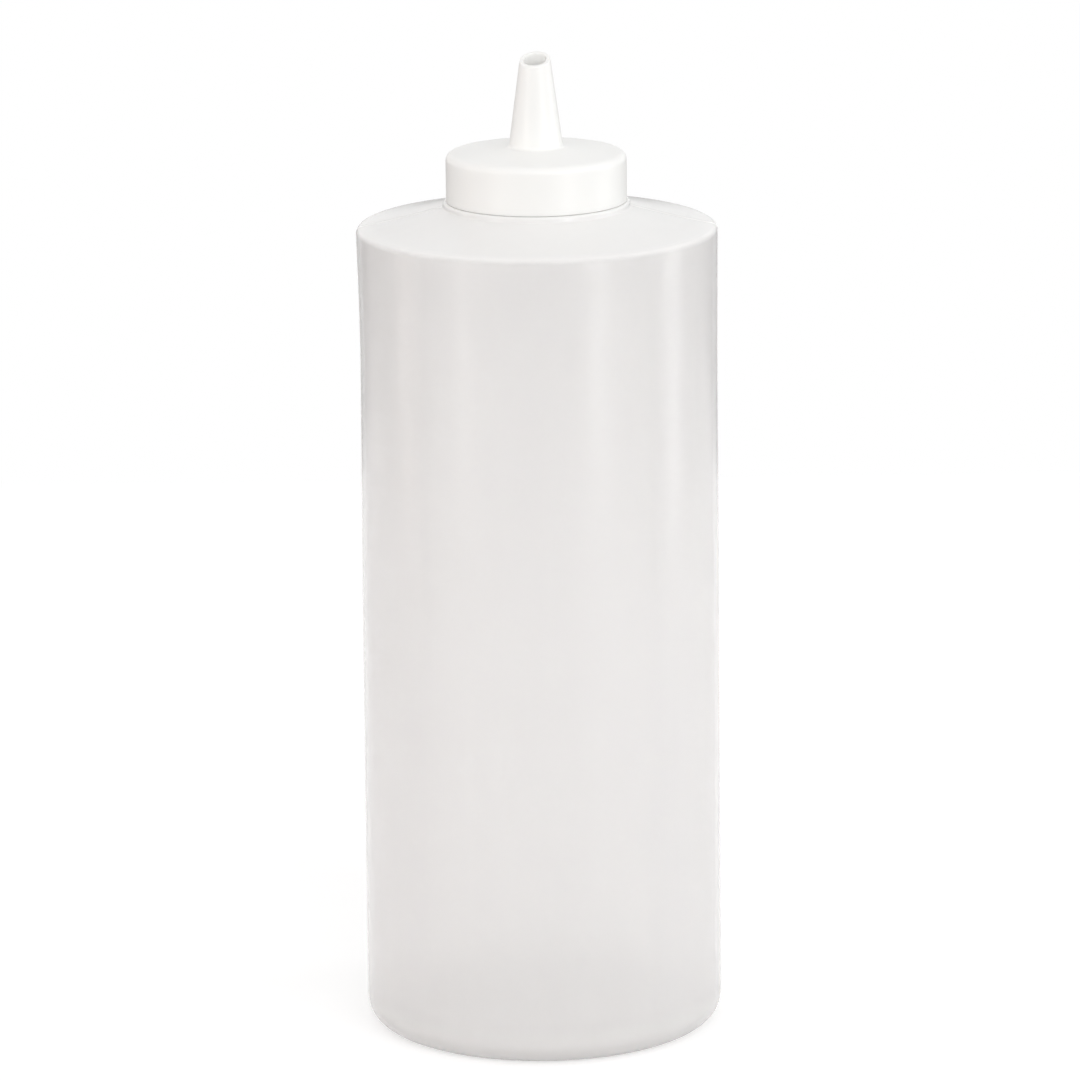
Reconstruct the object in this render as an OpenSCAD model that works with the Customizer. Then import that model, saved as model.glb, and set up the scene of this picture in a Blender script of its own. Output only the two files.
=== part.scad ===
// Squeeze sauce bottle: a blow-moulded round bottle, a screw cap with a cone tip, and a washer between them.
// Millimetres, +Z up. The origin is the centre of the face the bottle stands on, and the front is -Y.

/* [Bottle body] */
// Outside diameter of the body
body_d = 82.5; // [76:0.5:96]
// Height of the upper end of the body's straight side
side_top = 186.8; // [150:0.5:230]
// Thickness of the body's side and shoulder
body_wall = 1; // [0.7:0.1:1.6]
// Thickness of the base
base_wall = 1.4; // [1:0.1:2.5]
// Radius between the side and the standing face
base_round = 7; // [5:0.25:10]
// Width of the flat ring that the bottle stands on
foot_w = 4.25; // [2.5:0.25:6]
// Height of the pushed-up middle of the base
push_h = 3.5; // [2:0.1:6]
// Radius between the side and the shoulder
rim_round = 1.6; // [1.2:0.1:2.5]
// Rise of the shoulder from its rim to the collar
shoulder_rise = 4.4; // [3:0.1:8]
// Share of the rise that comes as the shoulder steepens towards the collar
shoulder_sweep = 0.16; // [0:0.02:0.4]
// Outside diameter of the collar at the foot of the neck
collar_d = 42.8; // [42:0.1:46]
// Height of the collar above the shoulder
collar_h = 1.2; // [0.8:0.1:2]
// Radius on the collar's upper edge
collar_round = 0.6; // [0.3:0.1:0.8]

/* [Mould marks] */
// Width of the raised parting line on the two sides of the mould
seam_w = 0.5; // [0.3:0.1:1]
// Height of the parting line above the surface
seam_h = 0.12; // [0.08:0.02:0.3]
// Length of the pinch-off ridge across the base
pinch_l = 44; // [24:1:52]
// Width of the pinch-off ridge
pinch_w = 1.2; // [0.8:0.1:2]
// Height of the pinch-off ridge
pinch_h = 0.6; // [0.3:0.1:1]

/* [Neck] */
// Outside diameter of the neck between its threads
neck_d = 35.1; // [34:0.1:35.6]
// Thickness of the neck
neck_wall = 2; // [1.6:0.1:2.4]
// Height of the neck from the collar to its sealing edge
neck_h = 8.9; // [8.5:0.1:12]
// Radius on the outer corner of the neck's sealing edge
neck_edge = 0.5; // [0.3:0.1:0.8]

/* [Thread] */
// Rise of the thread in one turn
pitch = 4.233; // [4.1:0.001:4.5]
// Turns of thread on the neck
neck_turns = 1.1; // [1:0.05:1.2]
// Turns of thread in the cap
cap_turns = 1; // [0.8:0.05:1.05]
// How far the neck's thread stands out
neck_thread_h = 1.15; // [1:0.05:1.25]
// Width of the neck's thread at its root
neck_thread_w = 2.4; // [2.2:0.05:2.6]
// How far the cap's thread stands in
cap_thread_h = 1.1; // [0.9:0.05:1.15]
// Width of the cap's thread at its root
cap_thread_w = 1.9; // [1.7:0.05:2]
// Gap between the crest of the neck's thread and the cap
crest_gap = 0.35; // [0.25:0.05:0.5]
// Gap between the two threads' flanks
flank_gap = 0.2; // [0.12:0.02:0.3]

/* [Cap] */
// Thickness of the cap's skirt
skirt_wall = 1.6; // [1.3:0.1:2]
// Gap between the cap's lower edge and the collar
skirt_gap = 0.2; // [0.1:0.1:0.6]
// Thickness of the cap's top at its edge
top_wall = 1.4; // [1:0.1:2]
// Radius on the cap's top edge
cap_round = 1.8; // [1.2:0.1:2]
// Rise of the cap's top from its edge to the cone
crown_rise = 1.2; // [0.6:0.1:2]

/* [Cone tip] */
// Outside radius of the cone where it leaves the cap's top
cone_r = 6.2; // [5.5:0.1:8]
// Outside radius of the cone at its tip
tip_r = 3.5; // [3.3:0.05:4]
// Height of the cone from the cap's top to the middle of its cut tip
cone_h = 20.2; // [16:0.1:30]
// Radius of the hole in the tip
hole_r = 2.6; // [2.2:0.05:2.7]
// Length of the hole's straight part below the lowest point of the cut
hole_l = 3; // [2:0.25:5]
// Thickness of the cone's wall at its foot
cone_wall = 1.1; // [0.9:0.1:1.6]
// Slant of the cut across the tip, in degrees
tip_slant = 20; // [0:0.5:25]
// Way that the cut faces, in degrees round from +X
tip_facing = 258; // [180:1:300]
// Radius where the cone meets the cap's top
cone_fillet = 0.8; // [0.4:0.1:1.5]

/* [Sealing washer] */
// Thickness of the washer
washer_t = 1; // [0.6:0.1:1.5]
// Gap between the washer and the cap's inner wall
washer_gap = 0.3; // [0.2:0.1:0.9]

/* [Hidden] */
$fn = 96;

body_r = body_d / 2;
neck_r = neck_d / 2;
bore_r = neck_r - neck_wall;
rim_r = body_r - rim_round;
foot_in = body_r - base_round - foot_w;

collar_r = collar_d / 2;
// The shoulder's height follows t * (1 - sweep) + t^2 * sweep, with t from 0 at the rim to 1 at the collar.
shoulder_run = rim_r - collar_r;
rim_slope = atan(shoulder_rise * (1 - shoulder_sweep) / shoulder_run);
rim_edge_r = rim_r + rim_round * sin(rim_slope);
rim_edge_z = side_top + rim_round * cos(rim_slope);
collar_foot_z = rim_edge_z + shoulder_rise;
collar_z = collar_foot_z + collar_h;
neck_top = collar_z + neck_h;

cap_in_r = neck_r + neck_thread_h + crest_gap;
skirt_r = cap_in_r + skirt_wall;
cap_low = collar_z + skirt_gap;
ceiling_z = neck_top + washer_t;
cap_edge_z = ceiling_z + top_wall;
crown_z = cap_edge_z + crown_rise;
tip_z = crown_z + cone_h;
cone_slope = (cone_r - tip_r) / cone_h;
cut_drop = tip_r * tan(tip_slant);
hole_low = tip_z - cut_drop - hole_l;
washer_r = cap_in_r - washer_gap;

neck_crest_w = neck_thread_w - neck_thread_h * 1.15;
cap_crest_w = cap_thread_w - cap_thread_h;
neck_thread_low = collar_z + 0.4 + neck_thread_w / 2;
// The cap's thread pulls up against the neck's thread from below, so their centre lines lie this far apart.
thread_overlap = cap_thread_h - crest_gap;
neck_w_at_cap_crest = neck_crest_w + (neck_thread_w - neck_crest_w) * thread_overlap / neck_thread_h;
thread_drop = (neck_w_at_cap_crest + cap_crest_w) / 2 + flank_gap;
cap_thread_start = 120;
thread_embed = 0.4;
turn_steps = 60;
fade_deg = 24;

function arc(cx, cy, r, from, to, n) =
    [for (i = [0:n]) let (a = from + (to - from) * i / n) [cx + r * cos(a), cy + r * sin(a)]];

function shoulder_z(r, lift) =
    let (t = (rim_edge_r - r) / (rim_edge_r - collar_r))
    rim_edge_z + lift + shoulder_rise * (t * (1 - shoulder_sweep) + t * t * shoulder_sweep);

function shoulder_line(from_r, to_r, lift, n) =
    [for (i = [0:n]) let (r = from_r + (to_r - from_r) * i / n) [r, shoulder_z(r, lift)]];

function dome(r, h, n) =
    let (big = (r * r + h * h) / (2 * h), a = asin(r / big))
    [for (i = [0:n]) let (s = a * i / n) [big * sin(s), h - big + big * cos(s)]];

function base_dome() = dome(foot_in, push_h, 6);

function inside_dome() = dome(foot_in - (base_wall - body_wall) / 2, push_h, 6);

function bottle_outside() = concat(
    base_dome(),
    arc(body_r - base_round, base_round, base_round, -90, 0, 8),
    arc(rim_r, side_top, rim_round, 0, 90 - rim_slope, 5),
    shoulder_line(rim_edge_r - 2, collar_r, 0, 7),
    arc(collar_r - collar_round, collar_z - collar_round, collar_round, 0, 90, 3),
    [[neck_r, collar_z]],
    arc(neck_r - neck_edge, neck_top - neck_edge, neck_edge, 0, 90, 3)
);

function bottle_inside() = concat(
    [[bore_r, neck_top], [bore_r, collar_z - body_wall]],
    shoulder_line(collar_r - body_wall, rim_r - 1, -body_wall, 7),
    arc(rim_r, side_top, rim_round - body_wall, 90 - rim_slope, 0, 3),
    arc(body_r - base_round, base_round, base_round - body_wall, 0, -75, 7),
    [for (i = [6:-1:0]) let (p = inside_dome()[i]) [p[0], p[1] + base_wall]]
);

// One ridge that climbs round the Z axis. It stands off a wall of radius wall_r by h, outwards when side is 1
// and inwards when side is -1, and fades in and out at its two ends.
module thread_ridge(wall_r, h, root_w, crest_w, side, turns, start, z) {
    steps = round(turns * turn_steps);
    span = turns * 360;
    ring_n = 4;
    points = [for (i = [0:steps])
        let (
            a = span * i / steps,
            grow = min(1, 0.15 + 0.85 * min(a, span - a) / fade_deg),
            zc = z + pitch * (start + a) / 360,
            r0 = wall_r - side * thread_embed,
            r1 = wall_r + side * h * grow,
            w0 = (root_w + (root_w - crest_w) * thread_embed / h) / 2 * grow,
            w1 = crest_w / 2 * grow
        )
        each [for (q = [[r0, -w0], [r1, -w1], [r1, w1], [r0, w0]])
            [q[0] * cos(start + a), q[0] * sin(start + a), zc + q[1]]]];
    sides = [for (i = [0:steps - 1], k = [0:ring_n - 1])
        let (
            p = i * ring_n + k,
            q = i * ring_n + (k + 1) % ring_n
        )
        each side < 0
            ? [[p, p + ring_n, q], [q, p + ring_n, q + ring_n]]
            : [[p, q, p + ring_n], [q, q + ring_n, p + ring_n]]];
    last = steps * ring_n;
    ends = side < 0
        ? [[0, 1, 2], [0, 2, 3], [last, last + 2, last + 1], [last, last + 3, last + 2]]
        : [[0, 2, 1], [0, 3, 2], [last, last + 1, last + 2], [last, last + 2, last + 3]];
    polyhedron(points = points, faces = concat(sides, ends));
}

module parting_line() {
    half = body_r + seam_h;
    intersection() {
        rotate_extrude()
            polygon(concat(
                [[rim_r - 2, base_round], [half, base_round]],
                arc(rim_r, side_top, rim_round + seam_h, 0, 90 - rim_slope, 5),
                shoulder_line(rim_edge_r - 2, collar_r - 0.2, seam_h, 7),
                [[collar_r - 0.2, collar_foot_z - body_wall / 2]],
                shoulder_line(collar_r, rim_r - 2, -body_wall / 2, 7)
            ));
        translate([-half, -seam_w / 2, 0])
            cube([2 * half, seam_w, collar_z]);
    }
}

module pinch_ridge() {
    sink = 0.4;
    intersection() {
        translate([-pinch_l / 2, -pinch_w / 2, 0.4])
            cube([pinch_l, pinch_w, push_h + sink]);
        rotate_extrude()
            polygon(concat(
                [for (p = base_dome()) [p[0], p[1] - pinch_h]],
                [for (i = [6:-1:0]) let (p = base_dome()[i]) [p[0], p[1] + sink]]
            ));
    }
}

module bottle() {
    color([0.93, 0.93, 0.92, 0.55]) {
        rotate_extrude()
            polygon(concat(bottle_outside(), bottle_inside()));
        parting_line();
        pinch_ridge();
        thread_ridge(neck_r, neck_thread_h, neck_thread_w, neck_crest_w, 1, neck_turns, 0, neck_thread_low);
    }
}

module sealing_washer() {
    color("white")
        translate([0, 0, neck_top])
            difference() {
                cylinder(h = washer_t, r = washer_r);
                translate([0, 0, -1])
                    cylinder(h = washer_t + 2, r = bore_r);
            }
}

function cone_r_at(z) = cone_r - cone_slope * (z - crown_z);

function cap_outside() = concat(
    [[skirt_r - 0.3, cap_low], [skirt_r, cap_low + 0.3]],
    arc(skirt_r - cap_round, cap_edge_z - cap_round, cap_round, 0, 84, 6),
    [[cone_r + cone_fillet, crown_z - 0.05]],
    arc(cone_r + cone_fillet, crown_z + cone_fillet, cone_fillet, 262, 188, 4),
    [[cone_r_at(tip_z + cut_drop + 1), tip_z + cut_drop + 1]]
);

function cap_inside() = concat(
    [[hole_r, tip_z + cut_drop + 1], [hole_r, hole_low]],
    [[cone_r - cone_wall, ceiling_z + top_wall], [cone_r - cone_wall + 0.6, ceiling_z]],
    [[cap_in_r, ceiling_z], [cap_in_r, cap_low + 0.3], [cap_in_r + 0.3, cap_low]]
);

module tip_cut() {
    block = 4 * tip_r;
    translate([0, 0, tip_z])
        rotate([0, 0, tip_facing])
            rotate([0, tip_slant, 0])
                translate([-block / 2, -block / 2, 0])
                    cube([block, block, block]);
}

module cone_tip_cap() {
    color("white")
        difference() {
            union() {
                rotate_extrude()
                    polygon(concat(cap_outside(), cap_inside()));
                thread_ridge(cap_in_r, cap_thread_h, cap_thread_w, cap_crest_w, -1, cap_turns,
                    cap_thread_start, neck_thread_low - thread_drop);
            }
            tip_cut();
        }
}

bottle();
sealing_washer();
cone_tip_cap();
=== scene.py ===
import math

import bmesh
import bpy
import numpy as np
from mathutils import Matrix, Vector


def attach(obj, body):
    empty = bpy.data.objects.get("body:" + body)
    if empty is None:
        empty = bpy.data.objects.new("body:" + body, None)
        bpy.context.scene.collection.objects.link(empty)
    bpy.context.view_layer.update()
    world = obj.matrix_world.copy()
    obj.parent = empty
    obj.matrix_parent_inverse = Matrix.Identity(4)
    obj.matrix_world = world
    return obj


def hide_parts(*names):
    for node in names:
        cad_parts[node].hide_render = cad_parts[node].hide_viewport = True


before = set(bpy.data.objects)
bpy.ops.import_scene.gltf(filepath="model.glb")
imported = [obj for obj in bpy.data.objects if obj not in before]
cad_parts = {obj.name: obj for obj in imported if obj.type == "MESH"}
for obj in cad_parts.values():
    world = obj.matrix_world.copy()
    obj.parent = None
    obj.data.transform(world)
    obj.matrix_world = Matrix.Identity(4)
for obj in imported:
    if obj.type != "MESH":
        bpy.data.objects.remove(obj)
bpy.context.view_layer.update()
mm = 0.001
mergeDistance = 0.002 * mm
wallTolerance = 0.02 * mm


def toLinear(hexColour):
    channels = [int(hexColour[i:i + 2], 16) / 255 for i in (1, 3, 5)]
    return [c / 12.92 if c <= 0.04045 else ((c + 0.055) / 1.055) ** 2.4 for c in channels] + [1.0]


def addNode(tree, kind, links=None, **settings):
    node = tree.nodes.new(kind)
    for name, value in settings.items():
        setattr(node, name, value)
    for key, value in (links or {}).items():
        if isinstance(value, bpy.types.NodeSocket):
            tree.links.new(value, node.inputs[key])
        else:
            node.inputs[key].default_value = value
    return node


# a profile is a list of (radius, height, corner radius, longest step after the corner), in millimetres

def arcPoints(radius, rise, top, count):
    big = (radius ** 2 + rise ** 2) / (2 * rise)
    span = math.asin(radius / big)
    angles = [span * i / count for i in range(count + 1)]
    return [(big * math.sin(angle), top - big + big * math.cos(angle)) for angle in angles]


def softenProfile(corners):
    # every corner with a radius becomes an arc, and long straight runs get points between
    spots = [Vector(c[:2]) for c in corners]
    runs = []
    for i, (here, corner) in enumerate(zip(spots, corners)):
        rounding = corner[2]
        if rounding <= 0 or i in (0, len(spots) - 1):
            runs.append([here])
            continue
        back, ahead = spots[i - 1] - here, spots[i + 1] - here
        half = back.angle(ahead) / 2
        cut = min(rounding / math.tan(half), 0.48 * min(back.length, ahead.length))
        centre = here + (back.normalized() + ahead.normalized()).normalized() * cut / math.cos(half)
        first, last = here + back.normalized() * cut - centre, here + ahead.normalized() * cut - centre
        turn = first.angle_signed(last)
        steps = max(4, math.ceil(abs(turn) / math.radians(11)))
        runs.append([centre + Matrix.Rotation(-turn * k / steps, 2) @ first for k in range(steps + 1)])
    line = []
    for i, run in enumerate(runs):
        line += run
        if i + 1 < len(runs):
            gap = runs[i + 1][0] - run[-1]
            parts = max(1, math.ceil(gap.length / corners[i][3]))
            line += [run[-1] + gap * k / parts for k in range(1, parts)]
    return line


def profileMesh(name, line, skinTest):
    # the profile as a chain of points, each with the way outwards and whether the parting line crosses it
    mesh = bpy.data.meshes.new(name)
    edges = [(i, i + 1) for i in range(len(line) - 1)]
    mesh.from_pydata([(p.x * mm, 0, p.y * mm) for p in line], edges, [])
    mesh.attributes.new("outward", "FLOAT_VECTOR", "POINT")
    mesh.attributes.new("skin", "FLOAT", "POINT")
    outward, skin = mesh.attributes["outward"], mesh.attributes["skin"]
    for i, p in enumerate(line):
        along = (line[min(i + 1, len(line) - 1)] - line[max(i - 1, 0)]).normalized()
        outward.data[i].vector = (along.y, 0, -along.x)
        skin.data[i].value = skinTest(i, p)
    return bpy.data.objects.new(name, mesh)


# one tree turns a profile round the axis, with a thread on one wall and a parting line on the skin

def roundMouldingTree():
    tree = bpy.data.node_groups.new("roundMoulding", "GeometryNodeTree")
    face = tree.interface
    face.new_socket("Geometry", in_out="OUTPUT", socket_type="NodeSocketGeometry")
    face.new_socket("Profile", in_out="INPUT", socket_type="NodeSocketGeometry")
    for name in ("Rows", "Sides"):
        face.new_socket(name, in_out="INPUT", socket_type="NodeSocketInt")
    for name in ("Crowding", "Seam Height", "Seam Width", "Wall Radius", "Ridge Height", "Root Width",
                 "Crest Width", "Pitch", "Turns", "Fade Turns", "Thread Base", "Thread Angle"):
        face.new_socket(name, in_out="INPUT", socket_type="NodeSocketFloat")
    face.new_socket("Finish", in_out="INPUT", socket_type="NodeSocketMaterial")
    given = addNode(tree, "NodeGroupInput").outputs
    math2 = "ShaderNodeMath"
    columns = addNode(tree, math2, {0: given["Sides"], 1: 1.0}, operation="ADD").outputs[0]
    grid = addNode(tree, "GeometryNodeMeshGrid", {"Vertices X": given["Rows"], "Vertices Y": columns})
    index = addNode(tree, "GeometryNodeInputIndex").outputs[0]
    rowShare = addNode(tree, math2, {0: index, 1: columns}, operation="DIVIDE").outputs[0]
    row = addNode(tree, math2, {0: rowShare}, operation="FLOOR").outputs[0]
    column = addNode(tree, math2, {0: index, 1: columns}, operation="FLOORED_MODULO").outputs[0]

    even = addNode(tree, math2, {0: column, 1: given["Sides"]}, operation="DIVIDE").outputs[0]
    evenAngle = addNode(tree, math2, {0: even, 1: math.tau}, operation="MULTIPLY").outputs[0]
    doubled = addNode(tree, math2, {0: evenAngle, 1: 2.0}, operation="MULTIPLY").outputs[0]
    pull = addNode(tree, math2, {0: addNode(tree, math2, {0: doubled}, operation="SINE").outputs[0],
        1: given["Crowding"]}, operation="MULTIPLY").outputs[0]
    angle = addNode(tree, math2, {0: pull, 1: -0.5, 2: evenAngle}, operation="MULTIPLY_ADD").outputs[0]
    cosine = addNode(tree, math2, {0: angle}, operation="COSINE").outputs[0]
    sine = addNode(tree, math2, {0: angle}, operation="SINE").outputs[0]

    place = addNode(tree, "GeometryNodeInputPosition").outputs[0]
    spot = addNode(tree, "GeometryNodeSampleIndex", {"Geometry": given["Profile"], "Value": place,
        "Index": row}, data_type="FLOAT_VECTOR")
    wayAttribute = addNode(tree, "GeometryNodeInputNamedAttribute", {"Name": "outward"},
        data_type="FLOAT_VECTOR").outputs[0]
    way = addNode(tree, "GeometryNodeSampleIndex", {"Geometry": given["Profile"], "Value": wayAttribute,
        "Index": row}, data_type="FLOAT_VECTOR")
    skinAttribute = addNode(tree, "GeometryNodeInputNamedAttribute", {"Name": "skin"},
        data_type="FLOAT").outputs[0]
    skin = addNode(tree, "GeometryNodeSampleIndex", {"Geometry": given["Profile"], "Value": skinAttribute,
        "Index": row}, data_type="FLOAT").outputs[0]
    spotParts = addNode(tree, "ShaderNodeSeparateXYZ", {0: spot.outputs[0]}).outputs
    wayParts = addNode(tree, "ShaderNodeSeparateXYZ", {0: way.outputs[0]}).outputs

    # parting line: a low ridge where the two mould halves met, on +X and -X
    across = addNode(tree, math2, {0: addNode(tree, math2, {0: spotParts[0], 1: sine},
        operation="MULTIPLY").outputs[0]}, operation="ABSOLUTE").outputs[0]
    halfSeam = addNode(tree, math2, {0: given["Seam Width"], 1: 0.5}, operation="MULTIPLY").outputs[0]
    seam = addNode(tree, "ShaderNodeMapRange", {"Value": across, "From Min": halfSeam, "From Max": 0.0,
        "To Min": 0.0, "To Max": given["Seam Height"]}, interpolation_type="SMOOTHSTEP").outputs[0]
    lift = addNode(tree, math2, {0: seam, 1: skin}, operation="MULTIPLY").outputs[0]

    # thread: how far each point of the wall lies from the nearest turn of the helix
    fromStart = addNode(tree, math2, {0: addNode(tree, math2, {0: angle, 1: given["Thread Angle"]},
        operation="SUBTRACT").outputs[0], 1: math.tau}, operation="FLOORED_MODULO").outputs[0]
    angleTurns = addNode(tree, math2, {0: fromStart, 1: math.tau}, operation="DIVIDE").outputs[0]
    climbed = addNode(tree, math2, {0: addNode(tree, math2, {0: spotParts[2], 1: given["Thread Base"]},
        operation="SUBTRACT").outputs[0], 1: given["Pitch"]}, operation="DIVIDE").outputs[0]
    loose = addNode(tree, math2, {0: climbed, 1: angleTurns}, operation="SUBTRACT").outputs[0]
    whole = addNode(tree, math2, {0: loose}, operation="ROUND").outputs[0]
    offLine = addNode(tree, math2, {0: addNode(tree, math2, {0: loose, 1: whole},
        operation="SUBTRACT").outputs[0], 1: given["Pitch"]}, operation="MULTIPLY").outputs[0]
    offLine = addNode(tree, math2, {0: offLine}, operation="ABSOLUTE").outputs[0]
    gone = addNode(tree, math2, {0: angleTurns, 1: whole}, operation="ADD").outputs[0]
    left = addNode(tree, math2, {0: given["Turns"], 1: gone}, operation="SUBTRACT").outputs[0]
    nearEnd = addNode(tree, math2, {0: gone, 1: left}, operation="MINIMUM").outputs[0]
    fade = addNode(tree, "ShaderNodeMapRange", {"Value": nearEnd, "From Min": 0.0,
        "From Max": given["Fade Turns"]}, interpolation_type="SMOOTHSTEP").outputs[0]
    halfRoot = addNode(tree, math2, {0: given["Root Width"], 1: 0.5}, operation="MULTIPLY").outputs[0]
    halfCrest = addNode(tree, math2, {0: given["Crest Width"], 1: 0.5}, operation="MULTIPLY").outputs[0]
    flank = addNode(tree, "ShaderNodeMapRange", {"Value": offLine, "From Min": halfRoot,
        "From Max": halfCrest}, interpolation_type="SMOOTHSTEP").outputs[0]
    fromWall = addNode(tree, math2, {0: addNode(tree, math2, {0: spotParts[0], 1: given["Wall Radius"]},
        operation="SUBTRACT").outputs[0]}, operation="ABSOLUTE").outputs[0]
    onWall = addNode(tree, math2, {0: fromWall, 1: wallTolerance}, operation="LESS_THAN").outputs[0]
    faded = addNode(tree, math2, {0: flank, 1: fade}, operation="MULTIPLY").outputs[0]
    fullRidge = addNode(tree, math2, {0: onWall, 1: given["Ridge Height"]}, operation="MULTIPLY").outputs[0]
    ridge = addNode(tree, math2, {0: faded, 1: fullRidge}, operation="MULTIPLY").outputs[0]

    radius = addNode(tree, math2, {0: wayParts[0], 1: lift, 2: spotParts[0]},
        operation="MULTIPLY_ADD").outputs[0]
    radius = addNode(tree, math2, {0: radius, 1: ridge}, operation="ADD").outputs[0]
    height = addNode(tree, math2, {0: wayParts[2], 1: lift, 2: spotParts[2]},
        operation="MULTIPLY_ADD").outputs[0]
    alongX = addNode(tree, math2, {0: radius, 1: cosine}, operation="MULTIPLY").outputs[0]
    alongY = addNode(tree, math2, {0: radius, 1: sine}, operation="MULTIPLY").outputs[0]
    target = addNode(tree, "ShaderNodeCombineXYZ", {0: alongX, 1: alongY, 2: height}).outputs[0]
    turned = addNode(tree, "GeometryNodeSetPosition", {"Geometry": grid.outputs["Mesh"],
        "Position": target}).outputs[0]
    closed = addNode(tree, "GeometryNodeMergeByDistance", {"Geometry": turned,
        "Distance": mergeDistance}).outputs[0]
    realized = addNode(tree, "GeometryNodeRealizeInstances", {0: closed}).outputs[0]
    finished = addNode(tree, "GeometryNodeSetMaterial", {"Geometry": realized,
        "Material": given["Finish"]}).outputs[0]
    addNode(tree, "NodeGroupOutput", {0: finished})
    return tree


def mouldRound(name, profile, sizes, finish):
    tree = bpy.data.node_groups.get("roundMoulding") or roundMouldingTree()
    bpy.context.scene.collection.objects.link(profile)
    modifier = profile.modifiers.new("roundMoulding", "NODES")
    modifier.node_group = tree
    sockets = {item.name: item.identifier for item in tree.interface.items_tree if item.in_out == "INPUT"}
    for key, value in {**sizes, "Rows": len(profile.data.vertices), "Finish": finish}.items():
        modifier[sockets[key]] = value
    mesh = bpy.data.meshes.new_from_object(profile.evaluated_get(bpy.context.evaluated_depsgraph_get()))
    profile.modifiers.remove(modifier)
    bpy.data.objects.remove(profile)
    mesh.name = name
    for attribute in [a.name for a in mesh.attributes if a.name in ("outward", "skin", "UVMap")]:
        mesh.attributes.remove(mesh.attributes[attribute])
    piece = bpy.data.objects.new(name, mesh)
    bpy.context.scene.collection.objects.link(piece)
    return piece


def vertexSpots(piece):
    spots = np.empty(len(piece.data.vertices) * 3)
    piece.data.vertices.foreach_get("co", spots)
    return spots.reshape(-1, 3) / mm


def closeUp(piece):
    work = bmesh.new()
    work.from_mesh(piece.data)
    bmesh.ops.remove_doubles(work, verts=work.verts, dist=mergeDistance)
    bmesh.ops.dissolve_degenerate(work, dist=0.0005 * mm, edges=work.edges)
    if work.calc_volume(signed=True) < 0:
        bmesh.ops.reverse_faces(work, faces=work.faces)
    openEdges = sum(1 for e in work.edges if not e.is_manifold)
    work.to_mesh(piece.data)
    work.free()
    piece.data.shade_smooth()
    print(f"{piece.name}: {len(piece.data.polygons)} faces, {openEdges} open edges")


# materials: colours as the photo shows them, pattern sizes and depths in millimetres

def newMaterial(name):
    material = bpy.data.materials.new(name)
    material.use_nodes = True
    tree = material.node_tree
    tree.nodes.clear()
    shader = addNode(tree, "ShaderNodeBsdfPrincipled")
    addNode(tree, "ShaderNodeOutputMaterial", {"Surface": shader.outputs[0]})
    where = addNode(tree, "ShaderNodeTexCoord").outputs["Object"]
    return material, tree, shader, where


blownPolyethylene = {
    "thinColour": "#faf8f7", "thickColour": "#f8f7f5", "mottle": 0.03,
    "roughness": 0.22, "roughnessSpread": 0.03, "grainSize": 0.35, "flowWidth": 9.0, "flowHeight": 120.0,
    "shoulderFrom": 187.0, "shoulderTo": 188.5, "baseFrom": 1.0, "baseTo": 10.0, "baseThick": 0.35,
    "cover": 0.5, "thickCover": 0.92, "transmission": 0.22, "thickTransmission": 0.05,
    "scatter": 0.6, "scatterDepth": 1.5, "scatterTint": (1.0, 0.98, 0.97), "ior": 1.51,
    "flowDepth": 0.06, "flowStrength": 0.5, "flowDetail": 3.0,
    "grainDepth": 0.003, "grainStrength": 0.4, "grainDetail": 2.0,
}


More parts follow.
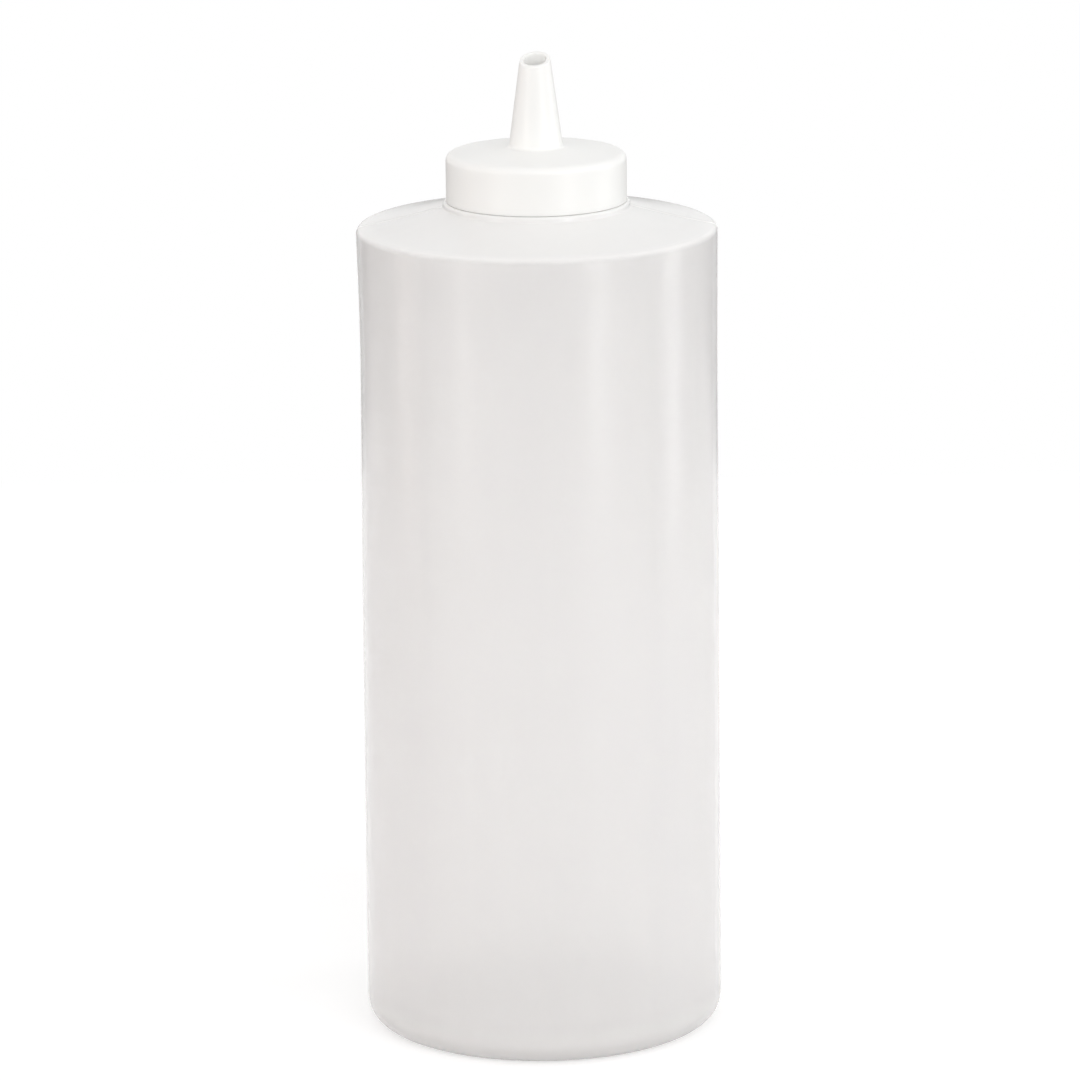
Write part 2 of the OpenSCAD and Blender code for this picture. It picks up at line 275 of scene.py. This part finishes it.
def makeBlownPolyethylene(look):
    # natural low-density polyethylene, blown into a blasted mould: milky, satin, clearer where it is thin
    # the blasted grain is drawn coarser than it is, so that it just shows
    material, tree, shader, where = newMaterial("naturalPolyethyleneBlown")
    acrossScale, upScale = 1000 / look["flowWidth"], 1000 / look["flowHeight"]
    flowScale = addNode(tree, "ShaderNodeMapping", {0: where,
        "Scale": (acrossScale, acrossScale, upScale)}).outputs[0]
    flow = addNode(tree, "ShaderNodeTexNoise", {"Vector": flowScale, "Scale": 1.0,
        "Detail": look["flowDetail"]}).outputs[0]
    grain = addNode(tree, "ShaderNodeTexNoise", {"Vector": where, "Scale": 1000 / look["grainSize"],
        "Detail": look["grainDetail"]}).outputs[0]

    # the wall is thicker at the shoulder and the neck, and in the base's corner
    upward = addNode(tree, "ShaderNodeSeparateXYZ", {0: where}).outputs[2]
    topWall = addNode(tree, "ShaderNodeMapRange", {"Value": upward, "From Min": look["shoulderFrom"] * mm,
        "From Max": look["shoulderTo"] * mm}, interpolation_type="SMOOTHSTEP").outputs[0]
    lowWall = addNode(tree, "ShaderNodeMapRange", {"Value": upward, "From Min": look["baseTo"] * mm,
        "From Max": look["baseFrom"] * mm, "To Max": look["baseThick"]},
        interpolation_type="SMOOTHSTEP").outputs[0]
    thick = addNode(tree, "ShaderNodeMath", {0: topWall, 1: lowWall}, operation="MAXIMUM").outputs[0]
    uneven = addNode(tree, "ShaderNodeMapRange", {"Value": flow, "To Min": -look["mottle"],
        "To Max": look["mottle"]}).outputs[0]
    body = addNode(tree, "ShaderNodeMath", {0: thick, 1: uneven}, operation="ADD",
        use_clamp=True).outputs[0]
    tint = addNode(tree, "ShaderNodeMix", {0: body, 6: toLinear(look["thinColour"]),
        7: toLinear(look["thickColour"])}, data_type="RGBA").outputs[2]
    tree.links.new(tint, shader.inputs["Base Color"])
    clear = addNode(tree, "ShaderNodeMapRange", {"Value": thick, "To Min": look["transmission"],
        "To Max": look["thickTransmission"]}).outputs[0]
    tree.links.new(clear, shader.inputs["Transmission Weight"])
    cover = addNode(tree, "ShaderNodeMapRange", {"Value": body, "To Min": look["cover"],
        "To Max": look["thickCover"]}).outputs[0]
    tree.links.new(cover, shader.inputs["Alpha"])

    spread = addNode(tree, "ShaderNodeMapRange", {"Value": flow,
        "To Min": look["roughness"] - look["roughnessSpread"],
        "To Max": look["roughness"] + look["roughnessSpread"]}).outputs[0]
    tree.links.new(spread, shader.inputs["Roughness"])
    soft = addNode(tree, "ShaderNodeBump", {"Height": flow, "Distance": look["flowDepth"] * mm,
        "Strength": look["flowStrength"]}).outputs[0]
    fine = addNode(tree, "ShaderNodeBump", {"Height": grain, "Normal": soft,
        "Distance": look["grainDepth"] * mm, "Strength": look["grainStrength"]}).outputs[0]
    tree.links.new(fine, shader.inputs["Normal"])
    shader.inputs["IOR"].default_value = look["ior"]
    shader.inputs["Subsurface Weight"].default_value = look["scatter"]
    shader.inputs["Subsurface Radius"].default_value = look["scatterTint"]
    shader.inputs["Subsurface Scale"].default_value = look["scatterDepth"] * mm
    return material


mouldedPolyethylene = {
    "colour": "#f3f3f1", "roughness": 0.36, "roughnessSpread": 0.05, "cloudSize": 14.0, "cloudDetail": 2.0,
    "scatter": 0.3, "scatterDepth": 1.0, "scatterTint": (1.0, 0.97, 0.93), "ior": 1.51,
    "grainSize": 0.3, "grainDepth": 0.004, "grainStrength": 0.4, "grainDetail": 2.0,
}


def makeMouldedPolyethylene(look):
    # white low-density polyethylene, injection moulded: denser than the body, even and softly shining
    # its fine texture is drawn coarser than it is, so that it just shows
    material, tree, shader, where = newMaterial("whitePolyethyleneMoulded")
    cloud = addNode(tree, "ShaderNodeTexNoise", {"Vector": where, "Scale": 1000 / look["cloudSize"],
        "Detail": look["cloudDetail"]}).outputs[0]
    grain = addNode(tree, "ShaderNodeTexNoise", {"Vector": where, "Scale": 1000 / look["grainSize"],
        "Detail": look["grainDetail"]}).outputs[0]
    spread = addNode(tree, "ShaderNodeMapRange", {"Value": cloud,
        "To Min": look["roughness"] - look["roughnessSpread"],
        "To Max": look["roughness"] + look["roughnessSpread"]}).outputs[0]
    tree.links.new(spread, shader.inputs["Roughness"])
    shader.inputs["Base Color"].default_value = toLinear(look["colour"])
    fine = addNode(tree, "ShaderNodeBump", {"Height": grain, "Distance": look["grainDepth"] * mm,
        "Strength": look["grainStrength"]}).outputs[0]
    tree.links.new(fine, shader.inputs["Normal"])
    shader.inputs["IOR"].default_value = look["ior"]
    shader.inputs["Subsurface Weight"].default_value = look["scatter"]
    shader.inputs["Subsurface Radius"].default_value = look["scatterTint"]
    shader.inputs["Subsurface Scale"].default_value = look["scatterDepth"] * mm
    return material


foamedPolyethylene = {
    "colour": "#f1f0ee", "poreColour": "#dddbd8", "roughness": 0.75,
    "poreSize": 0.25, "poreDepth": 0.03, "poreStrength": 0.6,
}


def makeFoamedPolyethylene(look):
    # expanded polyethylene sheet, die cut: dull, with fine closed pores
    material, tree, shader, where = newMaterial("foamedPolyethyleneCut")
    pores = addNode(tree, "ShaderNodeTexVoronoi", {"Vector": where,
        "Scale": 1000 / look["poreSize"]}).outputs["Distance"]
    tint = addNode(tree, "ShaderNodeMix", {0: pores, 6: toLinear(look["colour"]),
        7: toLinear(look["poreColour"])}, data_type="RGBA").outputs[2]
    tree.links.new(tint, shader.inputs["Base Color"])
    shader.inputs["Roughness"].default_value = look["roughness"]
    bump = addNode(tree, "ShaderNodeBump", {"Height": pores, "Distance": look["poreDepth"] * mm,
        "Strength": look["poreStrength"]}).outputs[0]
    tree.links.new(bump, shader.inputs["Normal"])
    return material


# bottle: radii and heights in millimetres, the thread's length and its fading ends in turns

bottleSizes = {
    "bodyRadius": 41.25, "sideTop": 186.8, "rimRadius": 1.6, "wall": 1.0,
    "baseWall": 1.4, "baseRadius": 7.0, "footInside": 30.0, "pushUp": 3.5,
    "shoulderRise": 4.4, "shoulderSweep": 0.16, "shoulderSteps": 12,
    "collarRadius": 21.4, "collarTop": 194.1, "neckRadius": 17.55, "boreRadius": 15.55, "neckTop": 202.868,
    "waist": 0.4, "waistLean": 0.2, "waistFrom": 30, "waistFade": 8,
    "waistHeights": [12, 30, 57, 75, 103, 131, 149, 158, 168, 177, 186.5, 188],
    "waistShape": [0, 0.05, 0.15, 0.25, 0.42, 0.72, 0.88, 1.0, 0.82, 0.5, 0.05, 0],
    "pinchLength": 44.0, "pinchWidth": 1.2, "pinchHeight": 0.6, "pinchFlank": 0.25, "pinchTaper": 2.0,
    "sides": 256, "seamCrowding": 0.9, "seamHeight": 0.11, "seamWidth": 0.7,
    "pitch": 4.233, "threadTurns": 1.1, "threadFade": 24 / 360,
    "threadHeight": 1.15, "threadRoot": 2.4, "threadCrest": 1.0775, "threadBase": 195.568,
}


def bottleProfile(b):
    shoulderRun = b["bodyRadius"] - b["rimRadius"] - b["collarRadius"]
    slope = math.atan(b["shoulderRise"] * (1 - b["shoulderSweep"]) / shoulderRun)
    edgeR = b["bodyRadius"] - b["rimRadius"] + b["rimRadius"] * math.sin(slope)
    edgeZ = b["sideTop"] + b["rimRadius"] * math.cos(slope)

    def shoulder(r, lower):
        t = (edgeR - r) / (edgeR - b["collarRadius"])
        swept = t * (1 - b["shoulderSweep"]) + t * t * b["shoulderSweep"]
        return (r, edgeZ - lower + b["shoulderRise"] * swept, 0, 1.5)

    rimCorner = edgeZ - (b["bodyRadius"] - edgeR) * math.tan(slope)
    dome = arcPoints(b["footInside"], b["pushUp"], b["pushUp"], 26)
    outside = [(r, z, 0, 1.5) for r, z in dome[:-1]]
    outside += [
        (b["footInside"], 0, 1.2, 1.0),
        (b["bodyRadius"], 0, b["baseRadius"], 4.0),
        (b["bodyRadius"], rimCorner, b["rimRadius"], 1.5),
    ]
    steps = b["shoulderSteps"]
    first, last = edgeR - 1.2, b["collarRadius"] + 0.9
    outside += [shoulder(first + (last - first) * i / steps, 0) for i in range(steps + 1)]
    foot = shoulder(b["collarRadius"], 0)[1]
    outside += [
        (b["collarRadius"], foot, 0.5, 0.5),
        (b["collarRadius"], b["collarTop"], 0.6, 0.6),
        (b["neckRadius"], b["collarTop"], 0.3, 0.18),
        (b["neckRadius"], b["neckTop"], 0.5, 0.5),
    ]
    inside = [
        (b["boreRadius"], b["neckTop"], 0.3, 1.0),
        (b["boreRadius"], b["collarTop"] - b["wall"], 0.9, 1.0),
    ]
    first, last = b["collarRadius"] - b["wall"], b["bodyRadius"] - b["rimRadius"] - b["wall"]
    inside += [shoulder(first + (last - first) * i / steps, b["wall"]) for i in range(steps + 1)]
    innerR = b["bodyRadius"] - b["wall"]
    inside += [
        (innerR, rimCorner - b["wall"] * 1.1, 1.4, 4.0),
        (innerR, b["baseWall"] * 0.8, b["baseRadius"] - b["wall"], 1.5),
    ]
    inside += [(r, z + b["baseWall"], 0, 1.5) for r, z in dome[::-1]]
    return softenProfile(outside + inside), len(softenProfile(outside + inside[:1]))


def makeBottle(b, finish):
    line, outsideCount = bottleProfile(b)
    seamFrom, seamTo = b["baseRadius"] * 0.4, b["collarRadius"] + 0.2

    def onSkin(i, p):
        return 1.0 if i < outsideCount and p.y > seamFrom and p.x > seamTo else 0.0

    sizes = {
        "Sides": b["sides"], "Crowding": b["seamCrowding"],
        "Seam Height": b["seamHeight"] * mm, "Seam Width": b["seamWidth"] * mm,
        "Wall Radius": b["neckRadius"] * mm, "Ridge Height": b["threadHeight"] * mm,
        "Root Width": b["threadRoot"] * mm, "Crest Width": b["threadCrest"] * mm,
        "Pitch": b["pitch"] * mm, "Turns": b["threadTurns"], "Fade Turns": b["threadFade"],
        "Thread Base": b["threadBase"] * mm, "Thread Angle": 0.0,
    }
    profile = profileMesh("bottleProfile", line, onSkin)
    piece = mouldRound("bottleShell", profile, sizes, finish)
    spots = vertexSpots(piece)
    radius = np.hypot(spots[:, 0], spots[:, 1])

    # the side is drawn in a little under the shoulder, more on one side than on the other
    depth = b["waist"] - b["waistLean"] * spots[:, 0] / np.maximum(radius, 1)
    drawn = np.interp(spots[:, 2], b["waistHeights"], b["waistShape"]) * depth
    drawn *= np.clip((radius - b["waistFrom"]) / b["waistFade"], 0, 1)
    spots[:, :2] *= (1 - drawn / np.maximum(radius, 1))[:, None]

    # pinch-off: where the mould cut the tube, a low ridge stands across the base
    under = (spots[:, 2] < b["pushUp"] + 0.05) & (radius < b["footInside"] - 1.5) & (spots[:, 2] > 0.01)
    dome = arcPoints(b["footInside"], b["pushUp"], b["pushUp"], 60)
    outer = spots[:, 2] < np.interp(radius, *zip(*dome)) + b["baseWall"] * 0.5
    acrossRidge = np.clip((b["pinchWidth"] / 2 - np.abs(spots[:, 1])) / b["pinchFlank"], 0, 1)
    alongRidge = np.clip((b["pinchLength"] / 2 - np.abs(spots[:, 0])) / b["pinchTaper"], 0, 1)
    spots[:, 2] -= b["pinchHeight"] * acrossRidge * alongRidge * (under & outer)
    piece.data.vertices.foreach_set("co", (spots * mm).ravel())
    closeUp(piece)
    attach(piece, "bottle")
    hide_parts("bottle")
    return piece


# cap with its cone tip: millimetres again, with its slant in degrees

capSizes = {
    "skirtRadius": 20.65, "insideRadius": 19.05, "lowEdge": 194.168, "ceiling": 203.868,
    "edgeHeight": 205.103, "edgeRadius": 1.8, "crown": 206.468, "coneRadius": 6.2, "coneFillet": 0.8,
    "tipRadius": 3.5, "tipHeight": 226.66, "holeRadius": 2.6, "holeLow": 222.394, "coneInside": 5.1,
    "slant": 20.0, "slantFacing": 258.0, "slantFrom": 216.0,
    "pitch": bottleSizes["pitch"], "threadTurns": 1.0, "threadFade": 24 / 360, "threadHeight": 1.1,
    "threadRoot": 1.9, "threadCrest": 0.8, "threadBase": 195.409, "threadAngle": 120.0, "sides": 160,
}


def makeCap(c, finish):
    middle = (c["skirtRadius"] + c["insideRadius"]) / 2
    corners = [
        (middle, c["lowEdge"], 0, 0.4),
        (c["skirtRadius"], c["lowEdge"], 0.12, 0.8),
        (c["skirtRadius"], c["edgeHeight"], c["edgeRadius"], 1.0),
        (c["coneRadius"], c["crown"], c["coneFillet"], 0.8),
        (c["tipRadius"], c["tipHeight"], 0.2, 0.3),
        (c["holeRadius"], c["tipHeight"], 0.2, 0.6),
        (c["holeRadius"], c["holeLow"], 2.0, 0.9),
        (c["coneInside"], c["ceiling"] + 1.4, 0.8, 0.5),
        (c["coneInside"] + 0.6, c["ceiling"], 0.4, 1.5),
        (c["insideRadius"], c["ceiling"], 0.35, 0.18),
        (c["insideRadius"], c["lowEdge"] + 0.3, 0.1, 0.2),
        (c["insideRadius"] + 0.3, c["lowEdge"], 0.1, 0.2),
        (middle, c["lowEdge"], 0, 1.0),
    ]
    sizes = {
        "Sides": c["sides"], "Crowding": 0.0, "Seam Height": 0.0, "Seam Width": 1.0 * mm,
        "Wall Radius": c["insideRadius"] * mm, "Ridge Height": -c["threadHeight"] * mm,
        "Root Width": c["threadRoot"] * mm, "Crest Width": c["threadCrest"] * mm,
        "Pitch": c["pitch"] * mm, "Turns": c["threadTurns"], "Fade Turns": c["threadFade"],
        "Thread Base": c["threadBase"] * mm, "Thread Angle": math.radians(c["threadAngle"]),
    }
    profile = profileMesh("capProfile", softenProfile(corners), lambda i, p: 0.0)
    piece = mouldRound("coneTipCapShell", profile, sizes, finish)
    spots = vertexSpots(piece)

    # the tip is cut on a slant that faces the front
    blend = np.clip((spots[:, 2] - c["slantFrom"]) / (c["tipHeight"] - c["slantFrom"]), 0, 1.05)
    facing = math.radians(c["slantFacing"])
    towards = spots[:, 0] * math.cos(facing) + spots[:, 1] * math.sin(facing)
    drop = blend * math.tan(math.radians(c["slant"])) * towards
    radius = np.maximum(np.hypot(spots[:, 0], spots[:, 1]), 0.5)
    coneSlope = (c["coneRadius"] - c["tipRadius"]) / (c["tipHeight"] - c["crown"])
    spots[:, :2] *= (1 + coneSlope * drop / radius)[:, None]
    spots[:, 2] -= drop
    piece.data.vertices.foreach_set("co", (spots * mm).ravel())
    closeUp(piece)
    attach(piece, "cap")
    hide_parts("cone_tip_cap")
    return piece


blown = makeBlownPolyethylene(blownPolyethylene)
moulded = makeMouldedPolyethylene(mouldedPolyethylene)
foamed = makeFoamedPolyethylene(foamedPolyethylene)
print("materials made")
makeBottle(bottleSizes, blown)
print("bottle made")
makeCap(capSizes, moulded)
print("cap made")
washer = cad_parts["sealing_washer"]
for slot in washer.material_slots:
    slot.material = foamed
print("washer finished")


# studio: places and sizes in metres; a lamp is (name, place, width, height, watts, colour)

studio = {
    "horizon": 0.9, "zenith": 0.62, "room": 0.2, "horizonFade": 0.04,
    # the paper's bounce colour is painted shade: greyer than the white the camera sees, so less light
    # bounces onto the bottle's lower part
    "tableSize": 1.1, "paperBounceShade": "#cbc8c7", "paperGlow": 1.24, "paperShow": 0.4,
    "lampTarget": (0, 0, 0.1),
    "lamps": [
        ("rightBox", (0.95, -1.2, 0.3), 0.3, 1.8, 7.0, "#ffffff"),
        ("leftBox", (-1.15, -1.05, 0.3), 0.25, 1.8, 5.0, "#fff6f2"),
        ("rightSideBox", (1.3, 0.15, 0.3), 0.4, 1.8, 4.6, "#ffffff"),
        ("leftSideBox", (-1.3, 0.1, 0.3), 0.4, 1.8, 2.5, "#fff0ea"),
        ("frontBox", (0.2, -1.1, 1.0), 0.6, 0.5, 2.8, "#ffffff"),
    ],
}


def seenRays(tree, mirrorShare):
    # camera rays, rays through the clear plastic and reflections meet the white background
    ray = addNode(tree, "ShaderNodeLightPath").outputs
    through = addNode(tree, "ShaderNodeMath", {0: ray["Is Camera Ray"], 1: ray["Is Transmission Ray"]},
        operation="MAXIMUM").outputs[0]
    mirrored = addNode(tree, "ShaderNodeMath", {0: ray["Is Glossy Ray"], 1: mirrorShare},
        operation="MULTIPLY").outputs[0]
    return addNode(tree, "ShaderNodeMath", {0: through, 1: mirrored}, operation="MAXIMUM").outputs[0]


def makeStudio(s):
    world = bpy.data.worlds.new("studioWorld")
    bpy.context.scene.world = world
    world.use_nodes = True
    tree = world.node_tree
    tree.nodes.clear()
    # a white sweep all round, and a darker room below the table
    upward = addNode(tree, "ShaderNodeSeparateXYZ", {
        0: addNode(tree, "ShaderNodeTexCoord").outputs["Object"]}).outputs[2]
    above = addNode(tree, "ShaderNodeMapRange", {"Value": upward, "From Min": -s["horizonFade"],
        "From Max": 0.0}).outputs[0]
    sky = addNode(tree, "ShaderNodeMapRange", {"Value": upward, "To Min": s["horizon"],
        "To Max": s["zenith"]}).outputs[0]
    glow = addNode(tree, "ShaderNodeMapRange", {"Value": above, "To Min": s["room"],
        "To Max": sky}).outputs[0]
    seen = addNode(tree, "ShaderNodeBackground", {"Color": (1, 1, 1, 1), "Strength": 1.0})
    light = addNode(tree, "ShaderNodeBackground", {"Color": (1, 1, 1, 1), "Strength": glow})
    mix = addNode(tree, "ShaderNodeMixShader", {0: seenRays(tree, above), 1: light.outputs[0],
        2: seen.outputs[0]})
    addNode(tree, "ShaderNodeOutputWorld", {0: mix.outputs[0]})

    mesh = bpy.data.meshes.new("paperTable")
    half = s["tableSize"] / 2
    corners = [(-half, -half, 0), (half, -half, 0), (half, half, 0), (-half, half, 0)]
    mesh.from_pydata(corners, [], [(0, 1, 2, 3)])
    table = bpy.data.objects.new("paperTable", mesh)
    bpy.context.scene.collection.objects.link(table)
    paper = bpy.data.materials.new("whitePaper")
    paper.use_nodes = True
    tree = paper.node_tree
    tree.nodes.clear()
    plain = addNode(tree, "ShaderNodeEmission", {"Color": (1, 1, 1, 1), "Strength": s["paperGlow"]})
    straight = seenRays(tree, 1.0)
    # painted shade: camera, clear and mirrored rays meet white paper, all other rays meet the greyer bounce
    # colour, which darkens the bottle's lower part
    shade = addNode(tree, "ShaderNodeMix", {0: straight, 6: toLinear(s["paperBounceShade"]), 7: (1, 1, 1, 1)},
        data_type="RGBA").outputs[2]
    lit = addNode(tree, "ShaderNodeBsdfDiffuse", {"Color": shade})
    part = addNode(tree, "ShaderNodeMath", {0: straight, 1: s["paperShow"]},
        operation="MULTIPLY").outputs[0]
    mix = addNode(tree, "ShaderNodeMixShader", {0: part, 1: lit.outputs[0], 2: plain.outputs[0]})
    addNode(tree, "ShaderNodeOutputMaterial", {"Surface": mix.outputs[0]})
    mesh.materials.append(paper)
    target = Vector(s["lampTarget"])
    for name, place, width, height, power, colour in s["lamps"]:
        lamp = bpy.data.lights.new(name, "AREA")
        lamp.shape, lamp.size, lamp.size_y, lamp.energy = "RECTANGLE", width, height, power
        lamp.color = toLinear(colour)[:3]
        holder = bpy.data.objects.new(name, lamp)
        holder.location = place
        holder.rotation_euler = (target - Vector(place)).to_track_quat("-Z", "Y").to_euler()
        holder.visible_camera = False
        bpy.context.scene.collection.objects.link(holder)


makeStudio(studio)
print("studio made")

# the photo's view, fitted to the outline: metres, degrees, and millimetres of lens and sensor
photoCamera = {
    "distance": 1.518, "height": 0.484, "down": 13.69, "lean": 0.59,
    "lens": 225.5, "sensorWidth": 36, "nearest": 0.05,
}


def makeCamera(p):
    camera = bpy.data.cameras.new("photoCamera")
    camera.lens, camera.sensor_width, camera.sensor_fit = p["lens"], p["sensorWidth"], "HORIZONTAL"
    camera.clip_start = p["nearest"]
    holder = bpy.data.objects.new("photoCamera", camera)
    tilt = Matrix.Rotation(math.radians(90 - p["down"]), 4, "X")
    lean = Matrix.Rotation(math.radians(-p["lean"]), 4, "Z")
    holder.matrix_world = Matrix.Translation((0, -p["distance"], p["height"])) @ tilt @ lean
    bpy.context.scene.collection.objects.link(holder)
    bpy.context.scene.camera = holder


makeCamera(photoCamera)
bpy.context.scene.view_settings.view_transform = "Standard"
print("scene ready")
